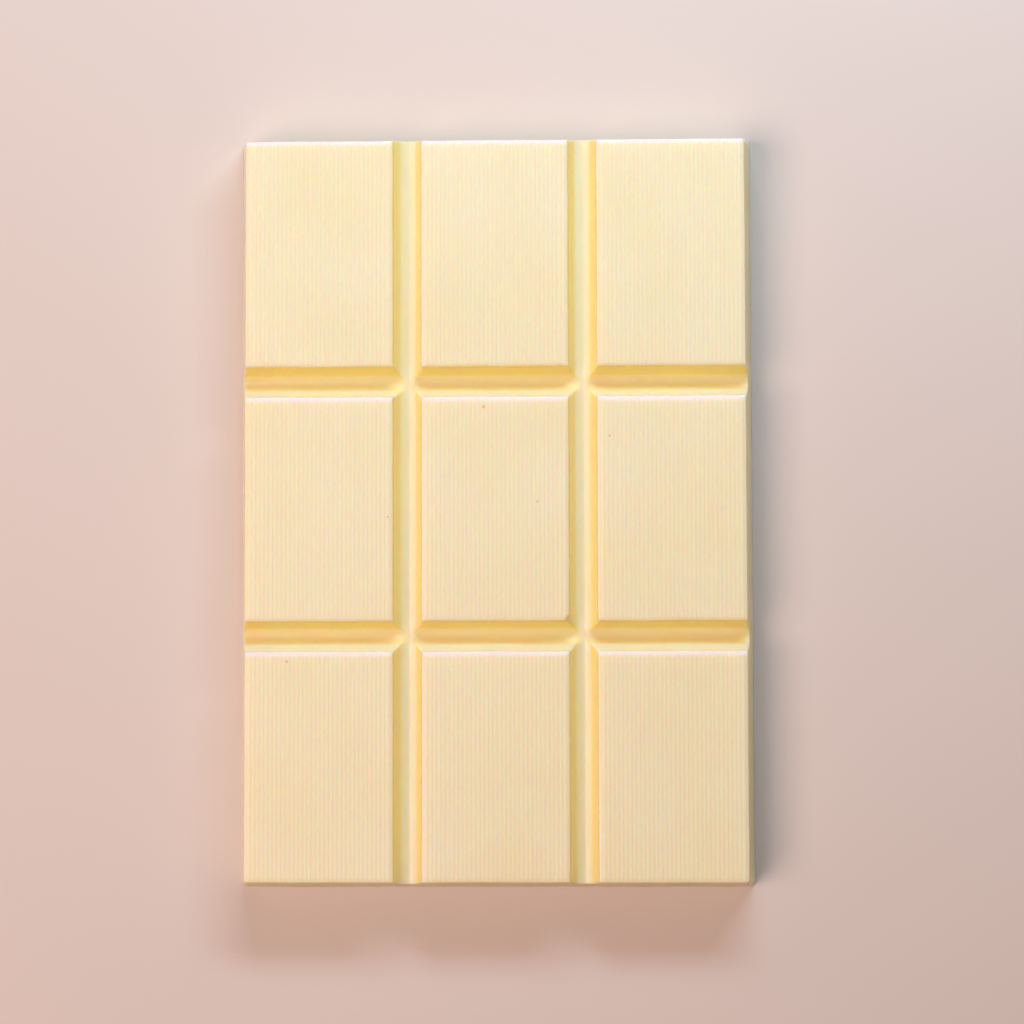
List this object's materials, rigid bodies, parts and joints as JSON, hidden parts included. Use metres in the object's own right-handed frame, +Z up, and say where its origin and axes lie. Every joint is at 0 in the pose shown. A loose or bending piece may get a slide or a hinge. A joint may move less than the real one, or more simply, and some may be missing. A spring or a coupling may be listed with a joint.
{
  "type": "chocolate bar",
  "caption": "Flat rectangular bar of white chocolate, divided by vee-floored grooves into rectangular blocks with fine ribs along their tops.",
  "frame": {"origin": "centre of the flat back, on the surface the bar lies on", "axes": "+Y along the bar's length and its ribs, +X across its width, +Z up out of the ribbed block faces"},
  "size_m": [0.08, 0.117, 0.009],
  "materials": {
    "white_chocolate": "satin white chocolate, slightly translucent"
  },
  "bodies": {
    "root": {"chocolate_bar": "white_chocolate"}
  },
  "joints": []
}
